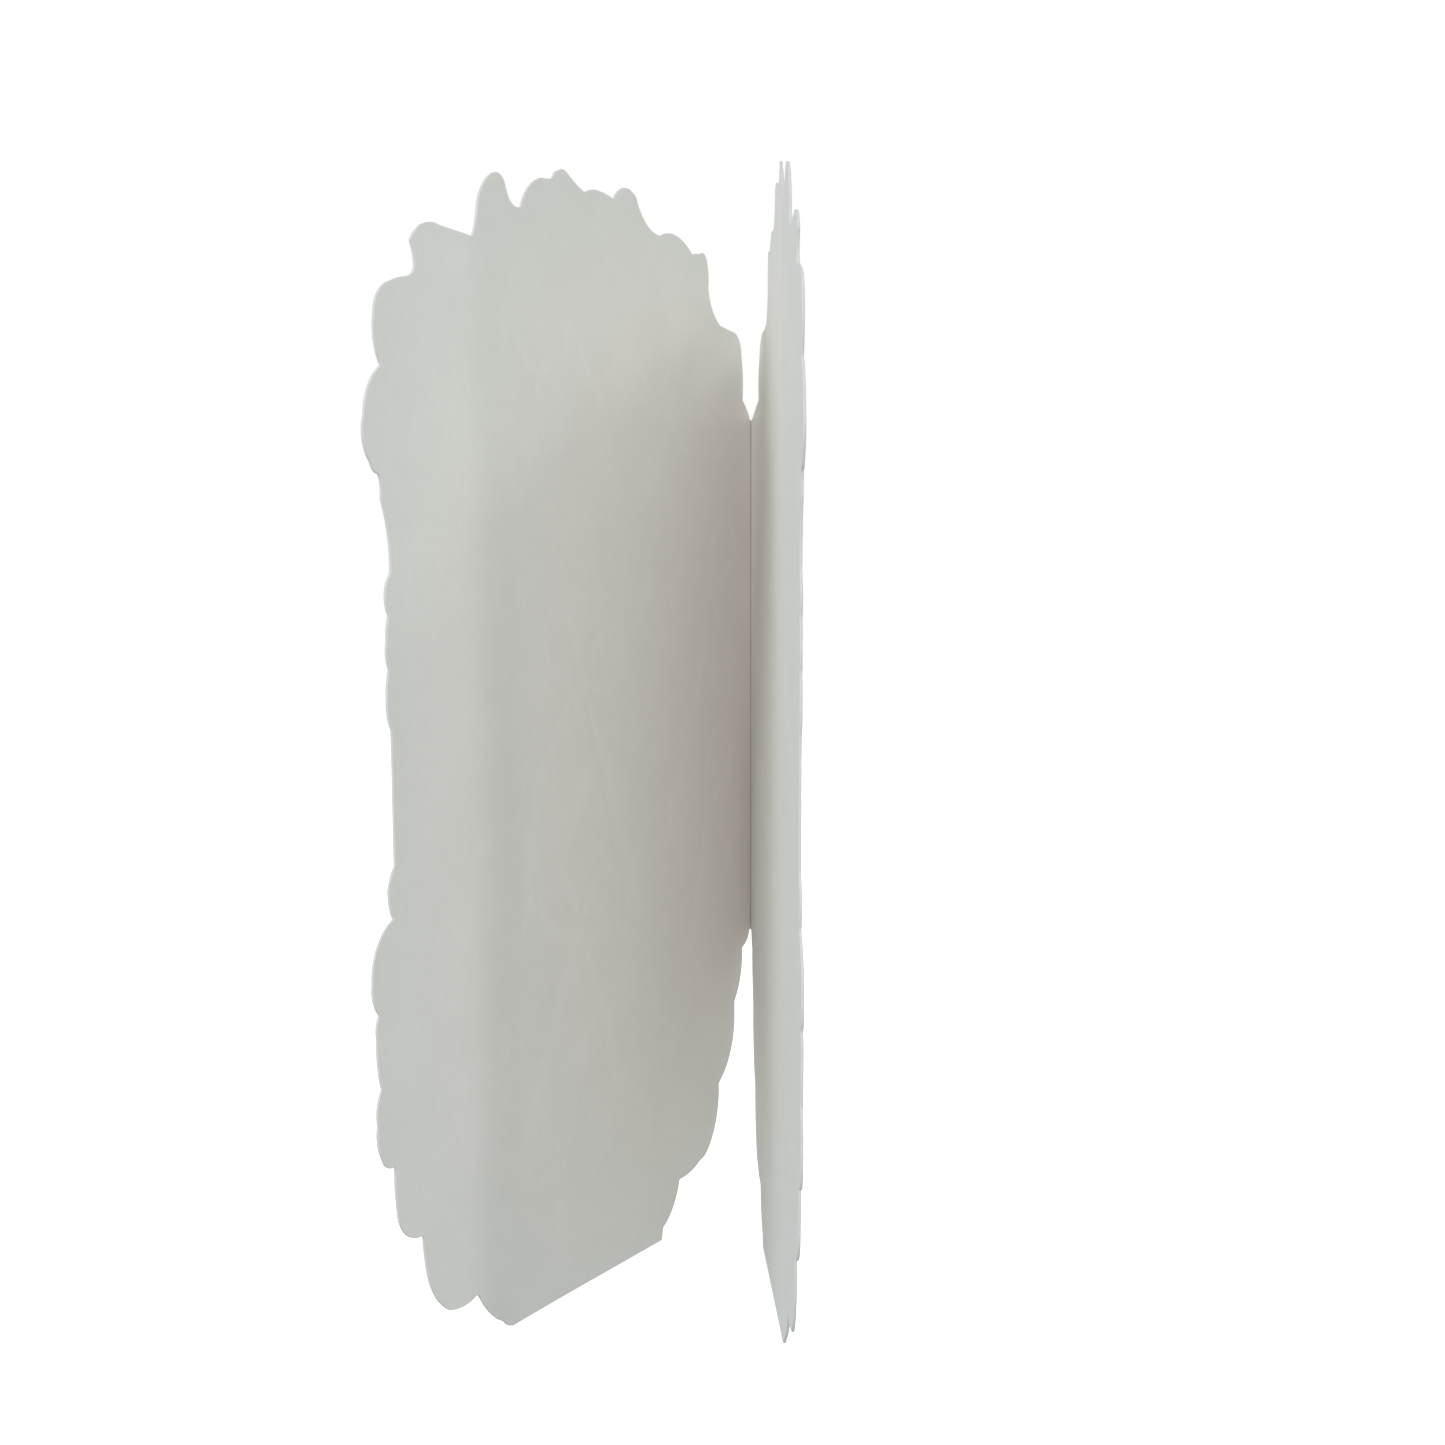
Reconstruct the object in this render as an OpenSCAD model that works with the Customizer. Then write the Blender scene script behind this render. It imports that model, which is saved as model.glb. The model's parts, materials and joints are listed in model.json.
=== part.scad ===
// A folded die-cut greeting card that stands on its own feet.
// Two scalloped covers meet at one upright fold. The back cover is flat. The front
// cover is scored near its free edge, so a narrow flap can bend outwards, and its
// outside carries a raised pattern of ribbon bows, small flowers and one garland.
//
// The card stands on Z = 0 with its origin under the middle of its box. The fold
// is at the back (+Y) and the covers open towards -Y, the front cover on -X.

/* [Cover] */
// Width of one cover from the fold to its widest lobe (mm)
cover_w = 126; // [116:1:136]
// Height of one cover from the table to its highest lobe (mm)
cover_h = 179; // [165:1:195]
// Thickness of the paperboard (mm)
board_t = 0.4; // [0.3:0.05:0.6]

/* [Stance] */
// Angle between the two covers as the card stands (degrees)
open_angle = 26.8; // [16:0.2:60]
// Outward bend of the front cover's flap at its score (degrees)
flap_bend = 5; // [0:0.5:15]

/* [Raised pattern] */
// Height that the pattern stands out of the front cover (mm)
relief_h = 0.15; // [0.1:0.05:0.3]
// Width of a ribbon tail at its free end (mm)
ribbon_w = 4; // [3:0.25:5]
// Radius of one flower petal (mm)
petal_r = 1.05; // [0.8:0.05:1.3]
// Width of the garland's line (mm)
garland_w = 1.1; // [0.8:0.1:1.6]

/* [Hidden] */

// The outline below is drawn on a cover of this width and height.
drawn_w = 126;
drawn_h = 179;
size_k = [cover_w / drawn_w, cover_h / drawn_h];

// Heights of the fold's two ends on the drawn cover.
fold_top = 144.5;
fold_foot = 49.5;
// The front cover's score: its distance from the fold and the heights of its ends.
drawn_score = 100;
score_top = 164;
score_foot = 8;

// Each outline row is [distance from the fold, height, bulge to the next row].
// The bulge is the arc's rise over half its chord: plus is a lobe, minus a hollow.
// Over the top, from the upper end of the fold to the upper end of the score.
top_edge = [
  [0, fold_top, 0.1], [3.5, 148, 0.1], [4, 156, 0.45], [8.5, 160, 0],
  [13.5, 160.5, -0.24], [18.5, 166.5, 0.15], [19, 171, 0.55], [22, 172, 0.1],
  [25, 171.5, 0.15], [33, 174, 0.1], [37.5, 173, -0.2], [44.5, 175.5, -0.1],
  [46.5, 178, 0.42], [54.5, 176.5, 0.06], [61, 177, 0.08], [64.5, 176, -0.05],
  [70, 178, 0.3], [73, 178, 0.25], [75, 176.5, -0.05], [78.5, 176, 0.23],
  [85, 170.5, -0.38], [89.5, 172.5, 0.34], [92.5, 174.5, 0.29], [98.5, 169, -0.1]
];
// Down the free edge, from the upper end of the score to its lower end.
free_edge = [
  [drawn_score, score_top, 0], [107.5, 164.5, 0.35], [114.5, 161.5, -0.15],
  [113.5, 158, -0.3], [115, 156.5, 0.05], [120, 155, 0.3], [123, 150.5, 0.2],
  [121.5, 143.5, 0.25], [125.5, 136.5, 0.3], [124, 130, 0.3], [122, 128.5, -0.1],
  [121.5, 125, -0.12], [119.5, 115, 0.35], [120, 109, 0.1], [120.5, 105.5, 0.18],
  [120, 101.5, 0.1], [120.5, 97.5, 0.15], [119.5, 93, 0], [119, 74, 0.1],
  [120.5, 71, 0.15], [119.5, 66.5, 0.3], [124.5, 58, 0.25], [123, 53.5, 0.2],
  [123.5, 50, 0.1], [122.5, 43, 0.2], [123.5, 38, 0.2], [122.5, 33, 0.4],
  [119.5, 31.5, 0.05], [119, 25, 0.44], [113, 20, 0.05], [112, 14, 0.2],
  [107, 7.5, 0.17]
];
// Along the foot, from the lower end of the score to the lower end of the fold.
foot_edge = [
  [drawn_score, score_foot, 0.15], [92, 1.5, 0.15], [89, 0, 0], [37.5, 0, 0],
  [37, 2, 0.22], [30.5, 9, 0.1], [22, 10.5, 0.15], [18.5, 12, 0.24],
  [14, 23, 0.25], [7, 33, 0], [7, 37, 0.22], [3.5, 46.5, 0.25]
];

// Longest straight step along an arc.
arc_step = 1.2;

// Depth of the layers, measured outwards from the plane through the fold's axis.
face_gap = 0.1;
mid_n = face_gap + board_t / 2;
outer_n = face_gap + board_t;

// The fold is a round bead on its axis, and the covers start just clear of it.
fold_r = outer_n - 0.05;
run_gap = 0.06;
cover_start = fold_r + run_gap;

// A score is a thin bead in the middle of the board, with the board's edges
// set back from it far enough for a right-angle bend.
score_r = board_t / 2;
score_s = drawn_score * size_k[0];
score_set_back = score_r + run_gap;

half_open = open_angle / 2;
flap_open = half_open + flap_bend;

// The widest lobe bulges past its drawn points and sets how far each cover reaches.
free_line = outline(free_edge, [drawn_score, score_foot]);
reach = max([for (p = free_line) p[0]]);
front_x = score_s * sin(half_open) + mid_n * cos(half_open)
          + (reach - score_s) * sin(flap_open) + board_t / 2 * cos(flap_open);
back_x = reach * sin(half_open) + outer_n * cos(half_open);
depth = reach * cos(half_open) - face_gap * sin(half_open);

// The fold's place, with the card's box centred on the origin.
fold_x = (front_x - back_x) / 2;
fold_y = (depth - fold_r) / 2;

// Ribbon bows: [distance from the fold, height, direction of each loop, tail routes].
// A tail's route is the middle point and the end point of a smooth bend.
bows = [
  [66, 98, [158, 40], [[[60, 88], [48.5, 60.5]], [[88, 84], [83.5, 60.5]]]],
  [67.5, 57.5, [153, 38], [[[58, 44], [54, 30]], [[77, 46], [84.5, 25.5]]]],
  [18.5, 113, [127, -4], [[[13, 106], [9.5, 99]], [[22, 98], [30, 84]]]],
  [20, 74.5, [124, -2], [[[11, 70], [9, 60]], [[22, 60], [27.5, 48]]]]
];
knot_r = 1.9;
knot_gap = 0.5;
loop_size = [15, 9];
loop_fullness = 1.3;
loop_w = ribbon_w / 2;
tail_root_w = ribbon_w * 0.35;
tail_start = 3.4;

// Flowers: [distance from the fold, height] of each middle.
flowers = [
  [43, 113], [67, 111], [86, 112], [20, 128], [17, 98], [40.5, 85], [67.5, 81.5],
  [92, 79], [40.5, 43], [67.5, 38], [92, 44], [33, 34.5], [44, 20], [74, 13],
  [91, 27], [90, 131], [42, 131]
];
petals = 5;

// The garland hangs in equal swags between these places under the top edge.
garland_from = 30;
garland_to = 90;
garland_z = 153;
garland_dip = 7;
swags = 3;
garland_gap = 0.8;
rosette_r = 2.2;
drop_r = 1.1;

// ---- points ----

// Places along the arc from p to q, without q itself.
function arc_points(p, q, bulge) =
  bulge == 0 ? [p] :
  let (
    chord = norm(q - p),
    along = (q - p) / chord,
    out = [-along[1], along[0]],
    middle = (p + q) / 2,
    half = 2 * atan(bulge),
    r = chord / (2 * sin(half)),
    steps = max(2, ceil(abs(2 * half * PI / 180 * r) / arc_step))
  )
  [for (i = [0 : steps - 1])
    let (a = half * (2 * i / steps - 1))
    middle + along * r * sin(a) + out * r * (cos(a) - cos(half))];

// A drawn place brought to the real cover's size.
function sized(p) = [p[0] * size_k[0], p[1] * size_k[1]];

// All places along a list of outline rows, ending at the given place.
function outline(rows, end) =
  let (
    places = [for (r = rows) sized(r)],
    last = sized(end)
  )
  concat(
    [for (i = [0 : len(rows) - 1])
      each arc_points(places[i], i < len(rows) - 1 ? places[i + 1] : last, rows[i][2])],
    [last]
  );

// Places along a smooth bend from a, drawn towards b, to c.
bend_steps = 14;
function bend(a, b, c) =
  [for (i = [0 : bend_steps])
    let (t = i / bend_steps)
    a * (1 - t) * (1 - t) + b * 2 * t * (1 - t) + c * t * t];

// Unit normal of a line of places at place i.
function normal_at(line, i) =
  let (
    d = line[min(i + 1, len(line) - 1)] - line[max(i - 1, 0)],
    u = d / norm(d)
  )
  [-u[1], u[0]];

// One side of a band along a line, its width growing from w0 to w1.
function band_side(line, w0, w1, side) =
  [for (i = [0 : len(line) - 1])
    let (w = w0 + (w1 - w0) * i / (len(line) - 1))
    line[i] + normal_at(line, i) * side * w / 2];

// ---- placing ----

// The back cover's own frame: X away from the fold, Y outwards, Z up.
module on_back() {
  translate([fold_x, fold_y, 0])
    rotate([0, 0, half_open - 90])
      children();
}

// The front cover's own frame, which is the back cover's one mirrored.
module on_front() {
  translate([fold_x, fold_y, 0])
    mirror([1, 0, 0])
      rotate([0, 0, half_open - 90])
        children();
}

// The flap's frame: bent outwards about the score, still measured from the fold.
module past_score() {
  translate([score_s, mid_n, 0])
    rotate([0, 0, flap_bend])
      translate([-score_s, -mid_n, 0])
        children();
}

// Stands a flat drawing up in a cover's frame as a layer from depth n to n + t.
module layer(n, t) {
  translate([0, n + t, 0])
    rotate([90, 0, 0])
      linear_extrude(height = t)
        children();
}

// ---- board ----

upper_line = outline(top_edge, [drawn_score, score_top]);
lower_line = outline(foot_edge, [0, fold_foot]);

// A stretch of board, trimmed so that none of it lies outside the two limits.
module board(line, from, to) {
  layer(face_gap, board_t)
    polygon([for (p = line) [min(max(p[0], from), to), p[1]]]);
}

module front_panel() {
  color([0.90, 0.91, 0.88])
    on_front()
      board(concat(upper_line, lower_line), cover_start, score_s - score_set_back);
}

module front_flap() {
  color([0.92, 0.93, 0.90])
    on_front()
      past_score()
        board(free_line, score_s + score_set_back, reach);
}

module front_score() {
  foot = score_foot * size_k[1];
  color([0.86, 0.87, 0.85])
    on_front()
      translate([score_s, mid_n, foot])
        cylinder(r = score_r, h = score_top * size_k[1] - foot, $fn = 32);
}

module back_panel() {
  color([0.88, 0.88, 0.86])
    on_back()
      board(concat(upper_line, free_line, lower_line), cover_start, reach);
}

module spine_fold() {
  foot = fold_foot * size_k[1];
  color([0.84, 0.84, 0.82])
    translate([fold_x, fold_y, foot])
      cylinder(r = fold_r, h = fold_top * size_k[1] - foot, $fn = 32);
}

// ---- raised pattern ----

// A layer on the outer face of the front cover.
module raised() {
  on_front()
    layer(outer_n, relief_h)
      children();
}

// Middle line of a pointed loop that leaves the knot and comes back to it.
loop_steps = 28;
function loop_line(size) =
  [for (i = [1 : loop_steps - 1])
    let (
      a = 360 * i / loop_steps,
      p = [size[0] * (1 - cos(a)) / 2, size[1] / 2 * sin(a) * sin(a / 2) * loop_fullness]
    )
    if (norm(p) > knot_r + knot_gap) p];

// A ribbon of changing width along a line, with its end square or notched.
module band(line, w0, w1, notch = 0) {
  last = len(line) - 1;
  back = line[last] - line[last - 1];
  right = band_side(line, w0, w1, -1);
  polygon(concat(
    band_side(line, w0, w1, 1),
    notch > 0 ? [line[last] - back / norm(back) * notch] : [],
    [for (i = [last : -1 : 0]) right[i]]
  ));
}

module ribbon_bows() {
  color([0.95, 0.94, 0.92])
    raised()
      for (b = bows)
        translate(sized(b)) {
          for (direction = b[2])
            rotate(direction)
              band(loop_line(loop_size), loop_w, loop_w);
          circle(r = knot_r, $fn = 24);
        }
}

// A tail starts clear of the knot and the loops, widens, and ends in a notch.
module tail_shape(root, route) {
  whole = bend(root, sized(route[0]), sized(route[1]));
  line = [for (p = whole) if (norm(p - root) > tail_start) p];
  band(line, tail_root_w, ribbon_w, ribbon_w / 2);
}

module ribbon_tails() {
  color([0.95, 0.94, 0.92])
    raised()
      for (b = bows)
        for (route = b[3])
          tail_shape(sized(b), route);
}

module flower_shape() {
  union() {
    for (i = [0 : petals - 1])
      rotate(90 + i * 360 / petals)
        translate([petal_r * 1.25, 0])
          circle(r = petal_r, $fn = 24);
    circle(r = petal_r * 0.7, $fn = 24);
  }
}

module flower_relief() {
  color([0.95, 0.94, 0.92])
    raised()
      for (f = flowers)
        translate(sized(f))
          flower_shape();
}

module garland_relief() {
  pitch = (garland_to - garland_from) / swags;
  color([0.95, 0.94, 0.92])
    raised() {
      for (i = [0 : swags - 1]) {
        a = sized([garland_from + i * pitch + rosette_r + garland_gap, garland_z]);
        c = sized([garland_from + (i + 1) * pitch - rosette_r - garland_gap, garland_z]);
        b = (a + c) / 2 - [0, 2 * garland_dip];
        band(bend(a, b, c), garland_w, garland_w);
        translate((a + c) / 2 - [0, garland_dip + 3])
          circle(r = drop_r, $fn = 24);
      }
      for (i = [0 : swags])
        translate(sized([garland_from + i * pitch, garland_z]))
          circle(r = rosette_r, $fn = 24);
    }
}

front_panel();
front_flap();
front_score();
back_panel();
spine_fold();
ribbon_bows();
ribbon_tails();
flower_relief();
garland_relief();
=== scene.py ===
import json
import math

import bpy
import numpy as np
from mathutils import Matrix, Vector
from mathutils.geometry import delaunay_2d_cdt


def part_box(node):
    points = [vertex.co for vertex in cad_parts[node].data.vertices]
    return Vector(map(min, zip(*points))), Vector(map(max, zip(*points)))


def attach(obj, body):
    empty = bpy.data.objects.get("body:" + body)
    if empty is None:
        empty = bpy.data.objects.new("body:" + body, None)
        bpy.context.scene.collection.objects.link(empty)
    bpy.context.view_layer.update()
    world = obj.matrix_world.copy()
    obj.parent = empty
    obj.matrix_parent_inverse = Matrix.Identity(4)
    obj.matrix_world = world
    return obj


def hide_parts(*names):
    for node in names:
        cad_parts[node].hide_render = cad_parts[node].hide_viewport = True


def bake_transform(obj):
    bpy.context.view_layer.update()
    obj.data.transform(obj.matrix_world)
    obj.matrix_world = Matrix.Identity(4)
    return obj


# A folded, die-cut greeting card of pale board, standing slightly open on its foot edges.
# The CAD model holds it as rigid panels with hinges between them. Here the card is the one
# bent board that it really is: a front sheet that bends softly into its flap, a back sheet
# that bows outwards a little, and a rounded fold that joins them. The outlines, the raised
# pattern, the angles and the places are all read from the CAD model.

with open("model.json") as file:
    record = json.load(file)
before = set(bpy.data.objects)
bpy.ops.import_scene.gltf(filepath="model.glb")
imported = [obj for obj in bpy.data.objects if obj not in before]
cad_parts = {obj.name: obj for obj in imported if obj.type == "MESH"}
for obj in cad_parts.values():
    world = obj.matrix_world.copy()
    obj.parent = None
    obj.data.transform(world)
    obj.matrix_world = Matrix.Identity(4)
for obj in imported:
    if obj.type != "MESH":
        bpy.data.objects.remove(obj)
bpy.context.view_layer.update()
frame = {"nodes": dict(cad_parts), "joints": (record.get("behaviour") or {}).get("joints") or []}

MM = 0.001
NEAR = 0.002 * MM

# ---- what the CAD model says ----

joints = {joint["name"]: joint for joint in frame["joints"]}
fold = np.array(joints["spine"]["pos_m"])
score = np.array(joints["front_flap_bend"]["pos_m"])
half_open = math.radians(-joints["spine"]["range_deg"][0]) / 2
flap_bend = math.radians(-joints["front_flap_bend"]["range_deg"][0])


class Plane:
    """A flat stretch of board seen from above: where it starts, which way it runs and which way is out.
    The front cover is on side -1 and the back cover on side 1."""

    def __init__(self, start, side, turn):
        self.start = start[:2]
        self.along = np.array([side * math.sin(turn), -math.cos(turn)])
        self.out = np.array([side * math.cos(turn), math.sin(turn)])

    def measure(self, points):
        """Row-frame points as columns: distance along, distance outwards and height."""
        flat = points[:, :2] - self.start
        return np.column_stack([flat @ self.along, flat @ self.out, points[:, 2]])

    def place(self, along, outwards, height):
        """The other way round: row-frame points."""
        flat = self.start + np.outer(along, self.along) + np.outer(outwards, self.out)
        return np.column_stack([flat, height])


front = Plane(fold, -1, half_open)
flap = Plane(score, -1, half_open + flap_bend)
back = Plane(fold, 1, half_open)


def node_points(node):
    mesh = frame["nodes"][node].data
    return np.array([v.co for v in mesh.vertices]).reshape(-1, 3)


levels = front.measure(node_points("front_panel"))[:, 1]
inner_n = levels.min()
outer_n = levels.max()
mid_n = (inner_n + outer_n) / 2
raised_n = front.measure(node_points("ribbon_bows"))[:, 1].max()
score_s = front.measure(score[None])[0, 0]


def chain(edges):
    """Joins directed edges, given as {from: to}, into closed loops of keys."""
    left = dict(edges)
    loops = []
    while left:
        first = next(iter(left))
        loop = [first]
        key = left.pop(first)
        while key != first:
            loop.append(key)
            key = left.pop(key)
        loops.append(loop)
    return loops


def area(loop):
    """Signed area inside a loop, positive when it runs anticlockwise."""
    x, y = loop.T
    return 0.5 * np.sum(x * np.roll(y, -1) - np.roll(x, -1) * y)


def face_loops(node, plane, level):
    """Outlines of a node's flat face at one distance outwards: anticlockwise (along, height) points."""
    points = plane.measure(node_points(node))
    on_face = np.abs(points[:, 1] - level) < NEAR
    keys = [tuple(k) for k in np.round(points[:, [0, 2]] / NEAR).astype(int)]
    places = dict(zip(keys, points[:, [0, 2]]))
    directed = set()
    for polygon in frame["nodes"][node].data.polygons:
        corners = list(polygon.vertices)
        if on_face[corners].all():
            directed |= {(keys[a], keys[b]) for a, b in zip(corners, corners[1:] + corners[:1])}
    border = {a: b for a, b in directed if (b, a) not in directed}
    loops = [np.array([places[k] for k in loop]) for loop in chain(border)]
    return [loop if area(loop) > 0 else loop[::-1] for loop in loops]


def open_at(loop, dropped):
    """A loop's points without the dropped run of them, starting just after it."""
    start = next(i for i in range(len(loop)) if dropped[i - 1] and not dropped[i])
    order = np.roll(np.arange(len(loop)), -start)
    return loop[order[~dropped[order]]]


def to_fold(loop):
    """Runs a cover's inner edge up to the fold's axis, over the gap that CAD leaves round its bead."""
    reached = loop.copy()
    reached[loop[:, 0] < loop[:, 0].min() + NEAR, 0] = 0
    return reached


def front_outline():
    """The front panel and its flap as one outline, closed over the score between them."""
    panel = to_fold(face_loops("front_panel", front, inner_n)[0])
    edge = face_loops("front_flap", flap, inner_n - mid_n)[0] + [score_s, 0]
    panel = open_at(panel, panel[:, 0] > panel[:, 0].max() - NEAR)
    edge = open_at(edge, edge[:, 0] < edge[:, 0].min() + NEAR)
    foot, top = (corner.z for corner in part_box("front_score"))
    return np.vstack([panel, [[score_s, foot]], edge, [[score_s, top]]])


def back_outline():
    return to_fold(face_loops("back_panel", back, inner_n)[0])


RAISED_NODES = ("ribbon_bows", "ribbon_tails", "flower_relief", "garland_relief")


def raised_loops():
    return [loop for node in RAISED_NODES for loop in face_loops(node, front, outer_n)]


# ---- working with outlines ----


def turns(loop):
    """How far the outline turns at each point, in radians."""
    before = loop - np.roll(loop, 1, 0)
    after = np.roll(loop, -1, 0) - loop
    cross = before[:, 0] * after[:, 1] - before[:, 1] * after[:, 0]
    return np.abs(np.arctan2(cross, np.sum(before * after, 1)))


SMOOTH_TURN = math.radians(38)
SMOOTH_STEP = 2.2 * MM


def rounded(loop):
    """Adds a point in the middle of each side, on the curve where the outline is smooth."""
    following = np.roll(loop, -1, 0)
    before = np.roll(loop, 1, 0)
    beyond = np.roll(loop, -2, 0)
    straight = (loop + following) / 2
    curved = (9 * (loop + following) - before - beyond) / 16
    smooth = turns(loop) < SMOOTH_TURN
    short = np.linalg.norm(following - loop, axis=1) < SMOOTH_STEP
    use = smooth & np.roll(smooth, -1) & short & np.roll(short, 1) & np.roll(short, -1)
    middle = np.where(use[:, None], curved, straight)
    return np.stack([loop, middle], 1).reshape(-1, 2)


def spaced(loop, step):
    """Divides each side longer than step into equal parts."""
    points = []
    for a, b in zip(loop, np.roll(loop, -1, 0)):
        parts = max(1, math.ceil(np.linalg.norm(b - a) / step - 1e-6))
        points += [a + (b - a) * i / parts for i in range(parts)]
    return np.array(points)


def thinned(loop, step):
    """Points along a loop that lie about step apart."""
    sides = np.linalg.norm(np.roll(loop, -1, 0) - loop, axis=1)
    count = max(6, round(sides.sum() / step))
    run = np.concatenate([[0], np.cumsum(sides)])
    closed = np.vstack([loop, loop[:1]])
    at = np.arange(count) * run[-1] / count
    return np.column_stack([np.interp(at, run, closed[:, axis]) for axis in (0, 1)])


def outward(loop):
    """Unit vectors that point out of an anticlockwise loop at its points."""
    ahead = np.roll(loop, -1, 0) - loop
    ahead /= np.linalg.norm(ahead, axis=1)[:, None]
    both = ahead + np.roll(ahead, 1, 0)
    both /= np.linalg.norm(both, axis=1)[:, None]
    return np.column_stack([both[:, 1], -both[:, 0]])


def depth_in(points, loop):
    """Distance of each point inside a loop, negative outside it."""
    best = np.full(len(points), np.inf)
    inside = np.zeros(len(points), bool)
    x, y = points.T
    for a, b in zip(loop, np.roll(loop, -1, 0)):
        side = b - a
        share = np.clip(((points - a) @ side) / (side @ side), 0, 1)
        best = np.minimum(best, np.sum((points - a - share[:, None] * side) ** 2, 1))
        if a[1] != b[1]:
            crossing = (a[1] > y) != (b[1] > y)
            inside ^= crossing & (x < a[0] + (y - a[1]) / (b[1] - a[1]) * side[0])
    return np.where(inside, 1, -1) * np.sqrt(best)


def depth_near(points, loop, reach):
    """depth_in for points in the loop's box with reach round it, and minus reach elsewhere."""
    near = np.all((points > loop.min(0) - reach) & (points < loop.max(0) + reach), 1)
    depth = np.full(len(points), -reach)
    depth[near] = np.maximum(depth_in(points[near], loop), -reach)
    return depth


def apart(points, gap):
    """Points without those that lie too close to an earlier one, found on a grid of cells."""
    taken = {}
    kept = []
    for p in points:
        cell = (math.floor(p[0] / gap), math.floor(p[1] / gap))
        around = [taken.get((cell[0] + i, cell[1] + j)) for i in (-1, 0, 1) for j in (-1, 0, 1)]
        if all(q is None or (q[0] - p[0]) ** 2 + (q[1] - p[1]) ** 2 > gap * gap for q in around):
            taken[cell] = p
            kept.append(p)
    return np.array(kept)


def smoothstep(t):
    t = np.clip(t, 0, 1)
    return t * t * (3 - 2 * t)


# ---- the board's shape ----

# How finely the sheets are divided.
GRID = 2.4 * MM
EDGE_STEP = 0.7 * MM
EDGE_RINGS = ((0.6 * MM, 1), (1.6 * MM, 2))
COLUMN_STEP = 1.5 * MM
CLOSEST = 0.17 * MM
CHAMFER = 0.06 * MM
# The covers end this far from the fold's axis, so that they don't meet when the card lies open.
END_GAP = 0.03 * MM

# The raised pattern's edges slope over this width, and its recess on the inside is wider and shallow.
RELIEF_SOFT = 0.6 * MM
RECESS_SOFT = 1.6 * MM
RECESS_DEPTH = 0.04 * MM
# How much of the pressed pattern's gloss and painted sheen, a paler colour, the recess on the inside
# takes; the painted sheen paints the pattern's light showing through.
RECESS_PAINTED_SHEEN = 0.25
RELIEF_STEP = 0.45 * MM
RELIEF_RINGS = [-0.7 * MM, -0.3 * MM, -0.1 * MM, 0.1 * MM, 0.3 * MM, 0.7 * MM]

# The score bends softly over this width, a little further in at the cover's middle height.
SCORE_SOFT = 12 * MM
SCORE_SAG = 1.5 * MM
SCORE_LOW_Z = 86 * MM
SCORE_HALF_Z = 78 * MM
# Just before it the panel dips back by this angle over this length.
DIP_ANGLE = math.radians(3.6)
DIP_AT = -8 * MM
DIP_LENGTH = 4.5 * MM
# Between the fold and the dip the panel bellies out by as much as the dip takes it back.
BELLY_FROM = -85 * MM
BELLY_TO = -22 * MM
BELLY_SOFT = 10 * MM
# The flap starts out steeper than its overall bend and ends flatter.
FLAP_CURL = math.radians(3.5)
FLAP_WIDTH = 26 * MM
# The flap is painted paler than the panel: painted light for the brighter light on the flap beyond the
# score. This far inside the score the painted light changes.
FLAP_PAINTED_LIGHT_AT = 1.0 * MM
FLAP_PAINTED_LIGHT_WIDTH = 8 * MM
# make_front works out two points this far either side of the score's axis, which nothing uses.
FLAP_TURN = 1.0 * MM

# The back cover leaves the fold more steeply towards its top and then comes back in.
BOW_FROM_Z = 60 * MM
BOW_RISE_Z = 100 * MM
BOW_OUT = 2.0 * MM
BOW_LENGTH = 4 * MM
BOW_BACK = 3.0 * MM
BOW_BACK_AT = 100 * MM


def score_line(z):
    """Where the soft score's middle lies at a height."""
    return score_s - SCORE_SAG / 2 + SCORE_SAG * ((z - SCORE_LOW_Z) / SCORE_HALF_Z) ** 2


def flap_painted_light_share(s, z):
    """How much of the flap's painted light a point takes: 0 on the front panel, 1 on its flap, with a
    short ramp at the score.
    """
    return smoothstep((s - score_line(z) + FLAP_PAINTED_LIGHT_AT) / FLAP_PAINTED_LIGHT_WIDTH + 0.5)


def bend_table():
    """The front sheet's middle line round the score, at distances from the score: how far it has
    turned, and its own place along the panel and outwards."""
    d = np.linspace(-score_s - 2 * MM, 40 * MM, 3000)
    step = d[1] - d[0]
    curl = FLAP_CURL * np.clip(1 - 2 * d / FLAP_WIDTH, -1, 1)
    turn = (flap_bend + curl) * smoothstep(d / SCORE_SOFT + 0.5)
    dip = DIP_ANGLE * np.exp(-(((d - DIP_AT) / DIP_LENGTH) ** 2))
    belly = smoothstep((d - BELLY_FROM) / BELLY_SOFT) * smoothstep((BELLY_TO - d) / BELLY_SOFT)
    turn += belly * dip.sum() / belly.sum() - dip
    along = np.cumsum(np.cos(turn)) * step
    rise = np.cumsum(np.sin(turn)) * step
    along += d[0] - along[0]
    return d, turn, along, rise


bend_d, bend_turn, bend_along, bend_rise = bend_table()


def front_place(s, z, n):
    """The front sheet's points: s along it from the fold, n outwards through its thickness."""
    middle = score_line(z)
    d = s - middle
    turn = np.interp(d, bend_d, bend_turn)
    along = middle + np.interp(d, bend_d, bend_along) - (n - mid_n) * np.sin(turn)
    rise = np.interp(d, bend_d, bend_rise) + (n - mid_n) * np.cos(turn)
    return front.place(along, mid_n + rise, z)


def back_place(s, z, n):
    """The back sheet's points, bowed outwards towards its top."""
    ramp = smoothstep((z - BOW_FROM_Z) / BOW_RISE_Z)
    bow = BOW_OUT * (1 - np.exp(-s / BOW_LENGTH)) - BOW_BACK * (s / BOW_BACK_AT) ** 2
    return back.place(s, n + ramp * np.maximum(bow, 0), z)


# ---- meshes ----


def edge_rings(outline):
    """Points a little way in from a cover's edge, which let its triangles grow inwards."""
    out = outward(outline)
    return [(outline - out * depth)[::skip] for depth, skip in EDGE_RINGS]


def grid(outline):
    """A honeycomb of points over a cover."""
    low, high = outline.min(0), outline.max(0)
    row_step = GRID * math.sqrt(3) / 2
    rows = np.arange(low[1], high[1], row_step)
    columns = np.arange(low[0], high[0], GRID)
    return np.array([[x + GRID / 2 * (i % 2), z] for i, z in enumerate(rows) for x in columns])


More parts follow.
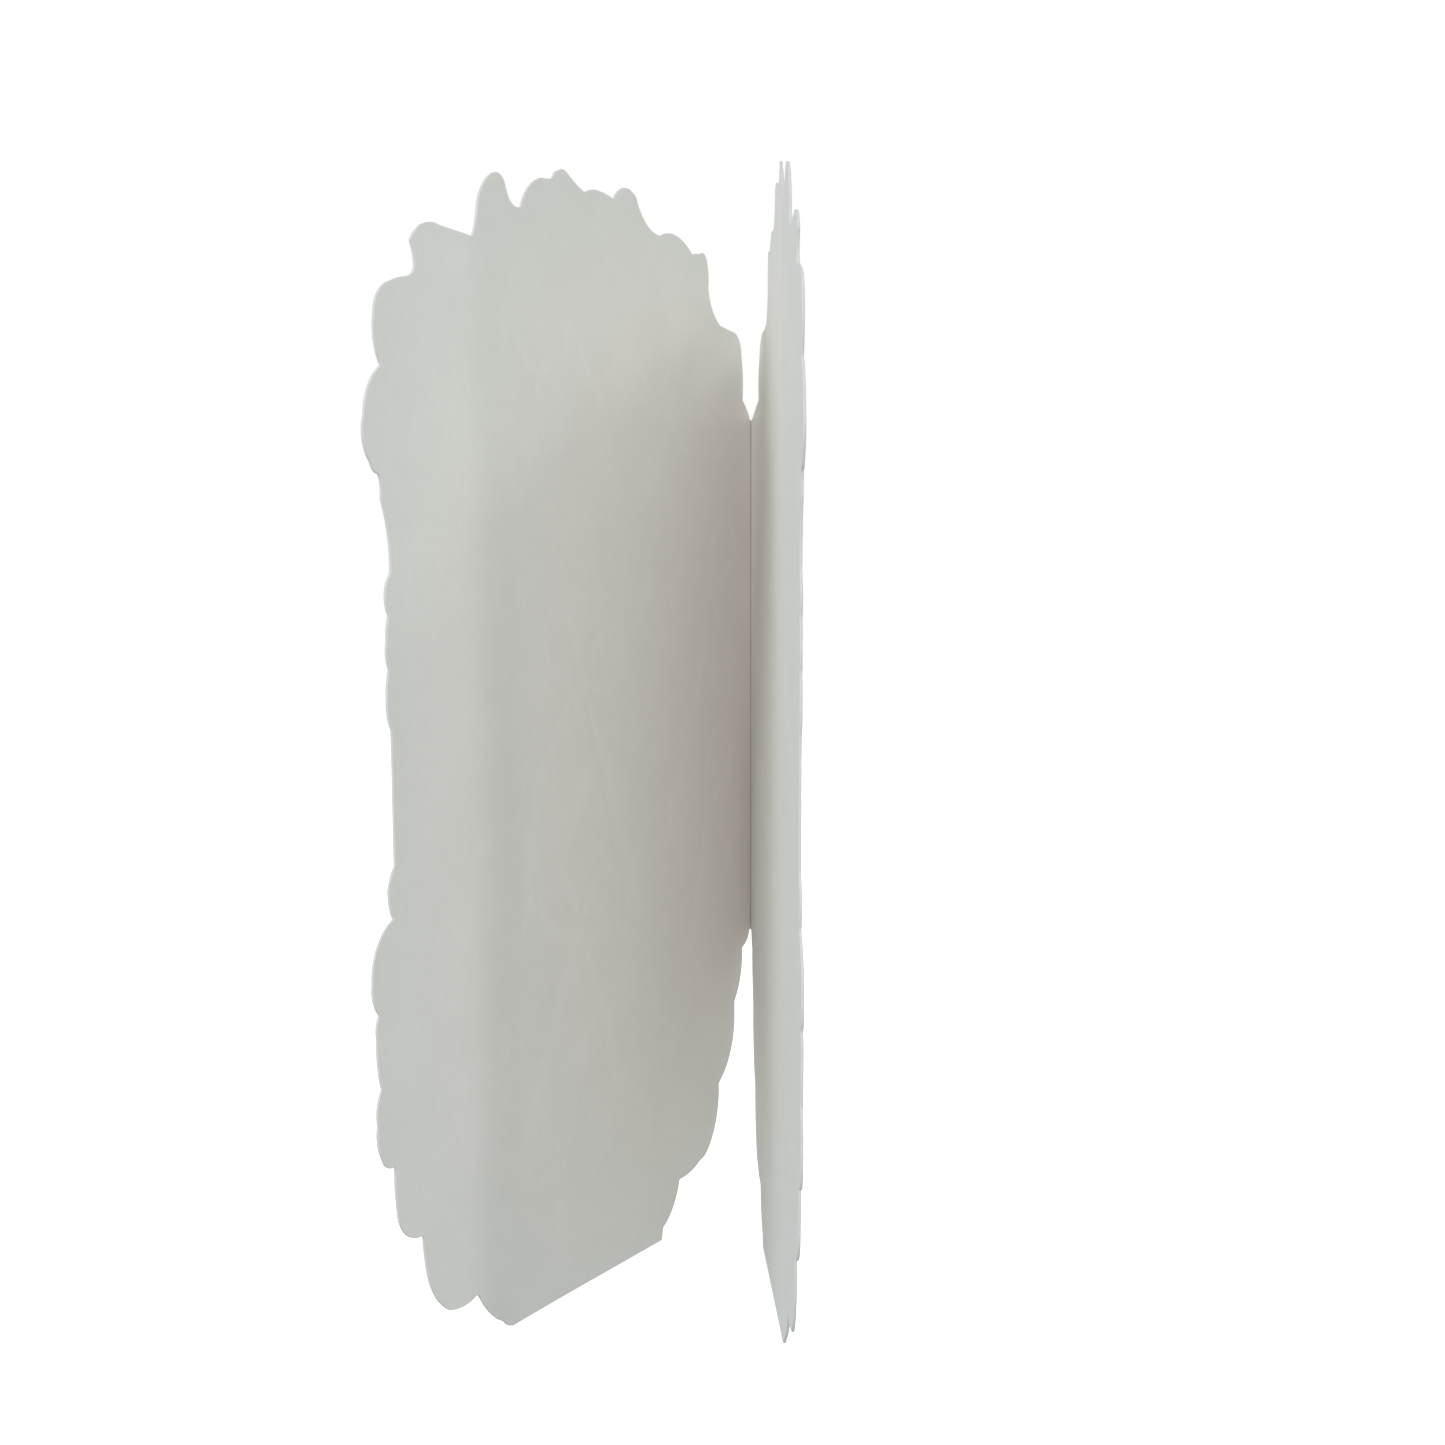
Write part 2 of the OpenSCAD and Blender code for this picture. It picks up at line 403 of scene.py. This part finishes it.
def fold_columns(outline, places):
    """Upright rows of points where the sheet bends."""
    heights = np.arange(outline[:, 1].min(), outline[:, 1].max(), COLUMN_STEP)
    return np.array([[s, z] for s in places for z in heights])


def relief_points(loops):
    """Rings of points along the edges of the raised pattern, where its height changes."""
    points = []
    for loop in loops:
        line = thinned(rounded(loop), RELIEF_STEP)
        out = outward(line)
        points += [line + out * offset for offset in RELIEF_RINGS]
    return np.vstack(points)


def covered(outline, wanted):
    """Triangles over an outline and the wanted points inside it. The outline's points come first."""
    gap = 0.3 * EDGE_STEP
    inside = wanted[depth_in(wanted, outline) > gap]
    points = np.vstack([outline, apart(inside, CLOSEST)])
    border = [(i, (i + 1) % len(outline)) for i in range(len(outline))]
    found = delaunay_2d_cdt([Vector(p / MM) for p in points], border, [], 1, 1e-6)
    if len(found[0]) != len(points):
        raise RuntimeError("the outline crosses itself")
    return points, [tuple(face) for face in found[2]]


def height_of(points, loops, soft):
    """How far the raised pattern has come up at each point, from 0 to 1."""
    height = np.zeros(len(points))
    for loop in loops:
        depth = depth_near(points, loop, soft)
        height = np.maximum(height, smoothstep(depth / soft + 0.5))
    return height


def sheet_mesh(name, outline, wanted, loops, place, side, start_s):
    """A closed sheet of board: an inner face, an outer face and a cut edge with softened corners."""
    cut = spaced(rounded(outline), 2 * EDGE_STEP)
    at_fold = cut[:, 0] < NEAR
    inset = np.where(at_fold[:, None], 0, outward(cut) * CHAMFER)
    wanted = np.vstack([wanted, grid(cut)] + edge_rings(cut))
    points, triangles = covered(cut - inset, wanted)
    s, z = points.T
    raised = height_of(points, loops, RELIEF_SOFT)
    recess = height_of(points, loops, RECESS_SOFT)
    inner = inner_n + RECESS_DEPTH * recess
    outer = outer_n + (raised_n - outer_n) * raised
    low = np.full(len(cut), inner_n + CHAMFER)
    high = np.full(len(cut), outer_n - CHAMFER)
    all_s = np.maximum(np.concatenate([s, s, cut[:, 0], cut[:, 0]]), END_GAP)
    all_z = np.concatenate([z, z, cut[:, 1], cut[:, 1]])
    all_n = np.concatenate([inner, outer, low, high])
    count, rim = len(points), len(cut)
    rings = [0, 2 * count, 2 * count + rim, count]
    faces = [face[::-1] if side < 0 else face for face in triangles]
    faces += [tuple(count + v for v in face[::-1]) for face in faces]
    edges = []
    for i in range(rim):
        j = (i + 1) % rim
        for a, b in zip(rings, rings[1:]):
            quad = (a + i, b + i, b + j, a + j)
            edges.append(quad[::-1] if side < 0 else quad)
    sheet = np.column_stack([side * -all_s + start_s, all_z, all_n])
    # Painted sheen and gloss: the raised pattern takes all of it, and the recess inside takes a share.
    gloss_and_painted_sheen = np.concatenate([RECESS_PAINTED_SHEEN * recess, raised, np.zeros(2 * rim)])
    sharp = {(v + i, v + (i + 1) % rim) for i in range(rim) for v in (0, count)}
    # Painted light: the front sheet's flap is painted paler, and the back sheet and the fold take a
    # middle share.
    flap_painted_light = flap_painted_light_share(all_s, all_z) if loops else np.full(len(all_s), 0.5)
    return make_piece(name, place(all_s, all_z, all_n), faces, edges, sheet, gloss_and_painted_sheen, flap_painted_light, sharp)


def make_piece(name, places, faces, cut_faces, sheet, gloss_and_painted_sheen, flap_painted_light, sharp):
    """A mesh piece with a board material on its faces and another on its cut edges.
    The attributes give the materials each point's place on the flat board, its share of the pattern's
    gloss and painted sheen, which follows its height in the pattern, and how much of the flap's painted
    light it takes."""
    mesh = bpy.data.meshes.new(name)
    mesh.from_pydata(places.tolist(), [], faces + cut_faces)
    mesh.attributes.new("sheet", "FLOAT_VECTOR", "POINT").data.foreach_set("vector", sheet.ravel())
    mesh.attributes.new("gloss_and_painted_sheen", "FLOAT", "POINT").data.foreach_set("value", gloss_and_painted_sheen)
    # The flap attribute carries the flap's painted light.
    mesh.attributes.new("flap", "FLOAT", "POINT").data.foreach_set("value", flap_painted_light)
    mesh.polygons.foreach_set("use_smooth", [True] * len(mesh.polygons))
    mesh.polygons.foreach_set("material_index", [0] * len(faces) + [1] * len(cut_faces))
    sorted_sharp = {tuple(sorted(pair)) for pair in sharp}
    for edge in mesh.edges:
        edge.use_edge_sharp = tuple(sorted(edge.vertices)) in sorted_sharp
    mesh.update()
    piece = bpy.data.objects.new(name, mesh)
    bpy.context.scene.collection.objects.link(piece)
    return piece


def make_front():
    loops = raised_loops()
    outline = front_outline()
    near_score = score_s + np.arange(-1.2, 1.21, 0.4) * MM
    wanted = np.vstack([relief_points(loops), fold_columns(outline, near_score)])
    piece = sheet_mesh("front_sheet", outline, wanted, loops, front_place, -1, 0)
    start = front.place([score_s - FLAP_TURN], [mid_n], [score[2]])[0]
    end = flap.place([FLAP_TURN], [0], [score[2]])[0]
    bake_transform(piece)
    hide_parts("front_panel", "front_flap", "front_score", *RAISED_NODES)
    return piece


def make_back():
    outline = back_outline()
    near_fold = np.array([0.5, 1.1, 1.8, 2.7, 3.8, 5.2, 7]) * MM
    wanted = fold_columns(outline, near_fold)
    start_s = -(math.pi - 2 * half_open) * mid_n
    piece = sheet_mesh("back_sheet", outline, wanted, [], back_place, 1, start_s)
    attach(piece, "back_cover")
    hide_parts("back_panel")
    return piece


FOLD_STEPS = 24
FOLD_ROWS = 64


def make_fold():
    """The rounded fold: part of a ring round the fold's axis, from one cover's end to the other's.
    Its inside is the crease line, painted dark as painted shade."""
    low, high = (corner.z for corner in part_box("spine_fold"))
    heights = np.linspace(low, high, FOLD_ROWS)
    turn = np.linspace(math.pi - half_open, half_open, FOLD_STEPS + 1)
    section = [(r, a) for r in (inner_n, outer_n) for a in turn]
    places, sheet = [], []
    for z in heights:
        for r, a in section:
            places.append([fold[0] + r * math.cos(a), fold[1] + r * math.sin(a), z])
            sheet.append([-(math.pi - half_open - a) * mid_n, z, r])
    width, inner_row = len(section), FOLD_STEPS + 1
    faces = []
    for k in range(len(heights) - 1):
        for i in range(FOLD_STEPS):
            a = k * width + i
            b = a + inner_row
            faces.append((a, a + 1, a + 1 + width, a + width))
            faces.append((b + 1, b, b + width, b + 1 + width))
        for i in (0, FOLD_STEPS):
            a = k * width + i
            quad = (a, a + width, a + width + inner_row, a + inner_row)
            faces.append(quad if i == 0 else quad[::-1])
    ends = []
    for base in (0, (len(heights) - 1) * width):
        for i in range(FOLD_STEPS):
            a = base + i
            quad = (a, a + inner_row, a + inner_row + 1, a + 1)
            ends.append(quad if base == 0 else quad[::-1])
    sharp = set()
    for k in range(len(heights) - 1):
        for i in (0, FOLD_STEPS, inner_row, inner_row + FOLD_STEPS):
            sharp.add((k * width + i, (k + 1) * width + i))
    for base in (0, (len(heights) - 1) * width):
        for i in list(range(FOLD_STEPS)) + list(range(inner_row, inner_row + FOLD_STEPS)):
            sharp.add((base + i, base + i + 1))
    places, sheet = np.array(places), np.array(sheet)
    gloss_and_painted_sheen = np.zeros(len(places))
    flap_painted_light = np.full(len(places), 0.5)
    piece = make_piece("spine_bend", places, faces, ends, sheet, gloss_and_painted_sheen, flap_painted_light, sharp)
    # The fold's inside takes the crease's painted shade.
    for face in piece.data.polygons:
        if all(v % width < inner_row for v in face.vertices):
            face.material_index = 2
    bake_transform(piece)
    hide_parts("spine_fold")
    return piece


# ---- materials ----


def new_material(name):
    material = bpy.data.materials.new(name)
    material.use_nodes = True
    tree = material.node_tree
    return material, tree, tree.nodes["Principled BSDF"]


def attribute(tree, name):
    node = tree.nodes.new("ShaderNodeAttribute")
    node.attribute_name = name
    return node


def noise(tree, vector, scale, detail=4, roughness=0.55, stretch=(1, 1, 1)):
    """Noise on the flat board, in features per metre."""
    mapping = tree.nodes.new("ShaderNodeMapping")
    mapping.inputs["Scale"].default_value = stretch
    tree.links.new(vector, mapping.inputs["Vector"])
    node = tree.nodes.new("ShaderNodeTexNoise")
    node.inputs["Scale"].default_value = scale
    node.inputs["Detail"].default_value = detail
    node.inputs["Roughness"].default_value = roughness
    tree.links.new(mapping.outputs["Vector"], node.inputs["Vector"])
    return node.outputs["Fac"]


def math_node(tree, operation, a, b, c=None):
    node = tree.nodes.new("ShaderNodeMath")
    node.operation = operation
    for socket, value in zip(node.inputs, (a, b, c)):
        if isinstance(value, bpy.types.NodeSocket):
            tree.links.new(value, socket)
        elif value is not None:
            socket.default_value = value
    return node.outputs[0]


def mixed(tree, factor, a, b):
    """A colour between a and b, each a colour or a socket."""
    node = tree.nodes.new("ShaderNodeMix")
    node.data_type = "RGBA"
    tree.links.new(factor, node.inputs["Factor"])
    for socket, value in ((node.inputs["A"], a), (node.inputs["B"], b)):
        sockets = [s for s in node.inputs if s.name == socket.name and s.type == "RGBA"]
        if isinstance(value, bpy.types.NodeSocket):
            tree.links.new(value, sockets[0])
        else:
            sockets[0].default_value = (*value, 1)
    return next(s for s in node.outputs if s.type == "RGBA")


# Noise sizes, in features per metre of board.
CLOUDS = 70
FIBRES = 900
GRAIN = 3200
LAYERS = 4000
BUMP_HEIGHT = 0.03 * MM

PAPER_LIGHT = (0.92, 0.91, 0.87)
PAPER_DARK = (0.80, 0.79, 0.75)
# A paler colour that paints the sheen on the pressed pattern and on its recess inside.
PAINTED_SHEEN = (0.89, 0.88, 0.85)
CUT_LIGHT = (0.80, 0.80, 0.78)
CUT_DARK = (0.66, 0.66, 0.63)
# Dark colours that paint the shade at the bottom of the fold.
CREASE_SHADE_LIGHT = (0.50, 0.48, 0.44)
CREASE_SHADE_DARK = (0.36, 0.34, 0.31)
FLOOR_DARK = (0.90, 0.90, 0.90)
FLOOR_LIGHT = (0.93, 0.93, 0.93)


def board_material():
    """Matt uncoated board: faint clouds from the pulp, fine fibres, and where it is pressed a satin
    gloss with a painted sheen, a paler colour. The flap is painted a little paler, painted light for
    the brighter light there."""
    material, tree, shader = new_material("board")
    flat = attribute(tree, "sheet").outputs["Vector"]
    gloss_and_painted_sheen = attribute(tree, "gloss_and_painted_sheen").outputs["Fac"]
    clouds = noise(tree, flat, CLOUDS, 3)
    fibres = noise(tree, flat, FIBRES, 5, 0.65, (1, 0.35, 1))
    grain = noise(tree, flat, GRAIN, 3, 0.6)
    tone = math_node(tree, "MULTIPLY_ADD", clouds, 0.5, math_node(tree, "MULTIPLY", fibres, 0.5))
    # Painted light: the flap's colour is lifted and the panel's lowered, standing in for the brighter
    # light on the flap.
    side = attribute(tree, "flap").outputs["Fac"]
    tone = math_node(tree, "ADD", tone, math_node(tree, "MULTIPLY_ADD", side, 0.25, -0.125))
    plain = mixed(tree, tone, PAPER_DARK, PAPER_LIGHT)
    # The pressed pattern is painted paler, which is painted sheen, and it is made less rough.
    tree.links.new(mixed(tree, gloss_and_painted_sheen, plain, PAINTED_SHEEN), shader.inputs["Base Color"])
    rough = math_node(tree, "MULTIPLY_ADD", fibres, 0.12, 0.78)
    tree.links.new(math_node(tree, "MULTIPLY_ADD", gloss_and_painted_sheen, -0.28, rough), shader.inputs["Roughness"])
    shader.inputs["Specular IOR Level"].default_value = 0.3
    bump = tree.nodes.new("ShaderNodeBump")
    bump.inputs["Strength"].default_value = 0.35
    bump.inputs["Distance"].default_value = BUMP_HEIGHT
    tree.links.new(math_node(tree, "ADD", fibres, grain), bump.inputs["Height"])
    tree.links.new(bump.outputs["Normal"], shader.inputs["Normal"])
    return material


def cut_material():
    """The cut edge: open fibres in layers."""
    material, tree, shader = new_material("cut_edge")
    flat = attribute(tree, "sheet").outputs["Vector"]
    layers = noise(tree, flat, LAYERS, 4, 0.7, (0.15, 0.15, 1))
    tree.links.new(mixed(tree, layers, CUT_DARK, CUT_LIGHT), shader.inputs["Base Color"])
    shader.inputs["Roughness"].default_value = 0.95
    shader.inputs["Specular IOR Level"].default_value = 0.2
    bump = tree.nodes.new("ShaderNodeBump")
    bump.inputs["Strength"].default_value = 0.5
    bump.inputs["Distance"].default_value = BUMP_HEIGHT
    tree.links.new(layers, bump.inputs["Height"])
    tree.links.new(bump.outputs["Normal"], shader.inputs["Normal"])
    return material


def crease_shade_material():
    """The inside of the fold: a fine dark line with fibre noise, painted shade at the bottom of the
    fold.
    """
    material, tree, shader = new_material("painted_crease_shade")
    flat = attribute(tree, "sheet").outputs["Vector"]
    fibres = noise(tree, flat, FIBRES, 5, 0.65, (1, 1, 0.35))
    tree.links.new(mixed(tree, fibres, CREASE_SHADE_DARK, CREASE_SHADE_LIGHT), shader.inputs["Base Color"])
    tree.links.new(math_node(tree, "MULTIPLY_ADD", fibres, 0.1, 0.85), shader.inputs["Roughness"])
    shader.inputs["Specular IOR Level"].default_value = 0.2
    return material


board = board_material()
cut_edge = cut_material()
painted_crease_shade = crease_shade_material()
for made in (make_front(), make_back(), make_fold()):
    made.data.materials.append(board)
    made.data.materials.append(cut_edge)
    if made.name == "spine_bend":
        made.data.materials.append(painted_crease_shade)

# ---- stage, light and camera ----


def make_floor():
    """A wide pale disc, which the card stands on. It glows white, and doesn't light the card."""
    mesh = bpy.data.meshes.new("floor")
    radii = (0.3, 0.8, 2, 6)
    count = 64
    places = [(0, 0, 0)]
    for r in radii:
        places += [
            (r * math.cos(math.tau * i / count), r * math.sin(math.tau * i / count), 0)
            for i in range(count)
        ]
    faces = [(0, 1 + i, 1 + (i + 1) % count) for i in range(count)]
    for ring in range(len(radii) - 1):
        a = 1 + ring * count
        b = a + count
        faces += [(a + i, b + i, b + (i + 1) % count, a + (i + 1) % count) for i in range(count)]
    mesh.from_pydata(places, [], faces)
    floor = bpy.data.objects.new("floor", mesh)
    bpy.context.scene.collection.objects.link(floor)
    material, tree, shader = new_material("floor")
    where = tree.nodes.new("ShaderNodeTexCoord").outputs["Object"]
    tone = noise(tree, where, 6, 2)
    tree.links.new(mixed(tree, tone, FLOOR_DARK, FLOOR_LIGHT), shader.inputs["Base Color"])
    shader.inputs["Roughness"].default_value = 0.9
    shader.inputs["Emission Color"].default_value = (1, 1, 1, 1)
    shader.inputs["Emission Strength"].default_value = 0.65
    mesh.materials.append(material)
    floor.visible_diffuse = False


make_floor()


def soft_light(name, azimuth, elevation, size, power, color):
    """A square soft light, aimed at the card's middle. Azimuth is measured from +X towards +Y."""
    lamp = bpy.data.lights.new(name, "AREA")
    lamp.shape = "SQUARE"
    lamp.size = size
    lamp.energy = power
    lamp.color = color
    light = bpy.data.objects.new(name, lamp)
    bpy.context.scene.collection.objects.link(light)
    a, e = math.radians(azimuth), math.radians(elevation)
    way = Vector((math.cos(a) * math.cos(e), math.sin(a) * math.cos(e), math.sin(e)))
    light.location = Vector((0, 0, LIGHT_AIM)) + way * LIGHT_AWAY
    light.rotation_euler = way.to_track_quat("Z", "Y").to_euler()


LIGHT_AWAY = 1.5
LIGHT_AIM = 0.09
WARM_LAMP = (1.0, 0.84, 0.83)
PALE_LAMP = (0.89, 0.88, 1.0)
COOL_LAMP = (0.90, 1.0, 0.96)
OUTSIDE_LAMP = (1.0, 0.95, 0.91)
DAYLIGHT = (0.87, 0.985, 1.0)

# The key throws the back cover's slanting shadow onto the front cover.
soft_light("key", 28, 50.5, 0.18, 1.6, COOL_LAMP)
soft_light("front", -80, 8, 0.3, 6.4, WARM_LAMP)
soft_light("front_high", -100, 25, 0.4, 1.75, COOL_LAMP)
soft_light("front_left", -127, 38, 0.4, 5.8, PALE_LAMP)
soft_light("right", -20, 42, 0.5, 1.0, COOL_LAMP)
# These two stand behind the fold and light only the outside.
soft_light("back_left", 104, 20, 0.3, 6.5, OUTSIDE_LAMP)
soft_light("back_right", 76, 12, 0.3, 6.5, OUTSIDE_LAMP)

world = bpy.data.worlds.new("studio")
bpy.context.scene.world = world
world.use_nodes = True
tree = world.node_tree
ambient = tree.nodes["Background"]
ambient.inputs["Color"].default_value = (*DAYLIGHT, 1)
ambient.inputs["Strength"].default_value = 0.46
shown = tree.nodes.new("ShaderNodeBackground")
shown.inputs["Color"].default_value = (1, 1, 1, 1)
shown.inputs["Strength"].default_value = 1.0
choice = tree.nodes.new("ShaderNodeMixShader")
tree.links.new(tree.nodes.new("ShaderNodeLightPath").outputs["Is Camera Ray"], choice.inputs[0])
tree.links.new(ambient.outputs[0], choice.inputs[1])
tree.links.new(shown.outputs[0], choice.inputs[2])
tree.links.new(choice.outputs[0], tree.nodes["World Output"].inputs[0])

bpy.context.scene.view_settings.view_transform = "Standard"

# The camera stands in front of the open side, a little towards the back cover.
CAMERA_RIGHT = 76.15 * MM
CAMERA_AWAY = 418.15 * MM
CAMERA_UP = 111.3 * MM
CAMERA_HEADING = 11.03
CAMERA_TILT = 3.09
CAMERA_LENS = 56.74

camera_data = bpy.data.cameras.new("camera")
camera_data.lens = CAMERA_LENS
camera_data.sensor_width = 36
camera_data.clip_start = 0.01
camera = bpy.data.objects.new("camera", camera_data)
bpy.context.scene.collection.objects.link(camera)
camera.location = (fold[0] + CAMERA_RIGHT, fold[1] - CAMERA_AWAY, CAMERA_UP)
camera.rotation_euler = (math.radians(90 - CAMERA_TILT), 0, math.radians(CAMERA_HEADING))
bpy.context.scene.camera = camera

bpy.context.view_layer.update()
